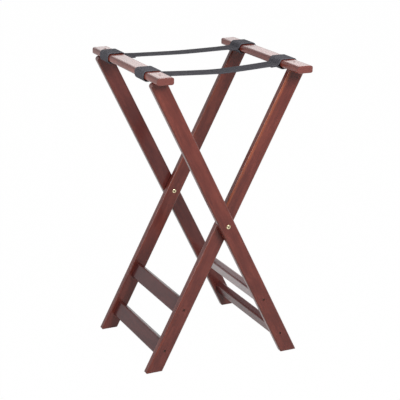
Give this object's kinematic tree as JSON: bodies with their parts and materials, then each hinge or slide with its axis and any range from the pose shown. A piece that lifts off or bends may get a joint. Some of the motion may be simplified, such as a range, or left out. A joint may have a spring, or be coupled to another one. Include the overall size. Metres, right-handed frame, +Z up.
{
  "type": "folding tray stand",
  "caption": "Folding wooden tray stand: crossed leg frames on a shared pivot, flat rungs low down, round-edged top rails tied by black webbing straps.",
  "frame": {"origin": "on the floor, under the middle of the pivot axis", "axes": "+Z up, +X across the opening from the outer frame's rail to the inner frame's rail, +Y along the rails"},
  "size_m": [0.433, 0.42, 0.791],
  "materials": {
    "mahogany_wood": "red-brown mahogany stain under a semi-gloss lacquer",
    "black_webbing": "woven black webbing",
    "pale_brass": "polished pale brass",
    "dark_screw_steel": "dark oxide",
    "nylon": "matte natural nylon"
  },
  "bodies": {
    "outer_frame": {"outer_near_leg": "mahogany_wood", "outer_far_leg": "mahogany_wood", "outer_rail": "mahogany_wood", "outer_upper_rung": "mahogany_wood", "outer_lower_rung": "mahogany_wood", "outer_rail_screws": "dark_screw_steel", "outer_rung_screws": "dark_screw_steel", "near_pivot_barrel": "pale_brass", "near_pivot_screw": "pale_brass", "near_pivot_washer": "nylon", "far_pivot_barrel": "pale_brass", "far_pivot_screw": "pale_brass", "far_pivot_washer": "nylon", "near_strap_outer_loop": "black_webbing", "far_strap_outer_loop": "black_webbing"},
    "inner_frame": {"inner_near_leg": "mahogany_wood", "inner_far_leg": "mahogany_wood", "inner_rail": "mahogany_wood", "inner_upper_rung": "mahogany_wood", "inner_lower_rung": "mahogany_wood", "inner_rail_screws": "dark_screw_steel", "inner_rung_screws": "dark_screw_steel", "near_strap_inner_loop": "black_webbing", "far_strap_inner_loop": "black_webbing"},
    "near_strap_outer": {"near_strap_outer_half": "black_webbing"},
    "near_strap_middle": {"near_strap_bight": "black_webbing"},
    "near_strap_inner": {"near_strap_inner_half": "black_webbing"},
    "far_strap_outer": {"far_strap_outer_half": "black_webbing"},
    "far_strap_middle": {"far_strap_bight": "black_webbing"},
    "far_strap_inner": {"far_strap_inner_half": "black_webbing"}
  },
  "joints": [
    {"name": "fold", "type": "hinge", "parent": "outer_frame", "child": "inner_frame", "pos_m": [0, 0, 0.381], "axis": [0, -1, 0], "range_deg": [0, 43.09], "deforming": ["near_strap_outer_half", "near_strap_bight", "near_strap_inner_half", "far_strap_outer_half", "far_strap_bight", "far_strap_inner_half"]},
    {"name": "near_strap_outer_droop", "type": "hinge", "parent": "outer_frame", "child": "near_strap_outer", "pos_m": [-0.165, -0.108, 0.779], "axis": [0, 1, 0], "range_deg": [0, 66.83]},
    {"name": "near_strap_bend", "type": "hinge", "parent": "near_strap_outer", "child": "near_strap_middle", "pos_m": [0, -0.108, 0.78156], "axis": [0, -1, 0], "range_deg": [0, 176.7]},
    {"name": "near_strap_inner_droop", "type": "hinge", "parent": "inner_frame", "child": "near_strap_inner", "pos_m": [0.165, -0.108, 0.779], "axis": [0, -1, 0], "range_deg": [0, 66.83]},
    {"name": "far_strap_outer_droop", "type": "hinge", "parent": "outer_frame", "child": "far_strap_outer", "pos_m": [-0.165, 0.117, 0.779], "axis": [0, 1, 0], "range_deg": [0, 66.83]},
    {"name": "far_strap_bend", "type": "hinge", "parent": "far_strap_outer", "child": "far_strap_middle", "pos_m": [0, 0.117, 0.78156], "axis": [0, -1, 0], "range_deg": [0, 176.7]},
    {"name": "far_strap_inner_droop", "type": "hinge", "parent": "inner_frame", "child": "far_strap_inner", "pos_m": [0.165, 0.117, 0.779], "axis": [0, -1, 0], "range_deg": [0, 66.83]}
  ],
  "couplings": [
    {"joint": "near_strap_outer_droop", "follows": "fold", "ratio": 1.5503},
    {"joint": "near_strap_bend", "follows": "fold", "ratio": 4.1006},
    {"joint": "near_strap_inner_droop", "follows": "fold", "ratio": 1.5503},
    {"joint": "far_strap_outer_droop", "follows": "fold", "ratio": 1.5503},
    {"joint": "far_strap_bend", "follows": "fold", "ratio": 4.1006},
    {"joint": "far_strap_inner_droop", "follows": "fold", "ratio": 1.5503}
  ]
}
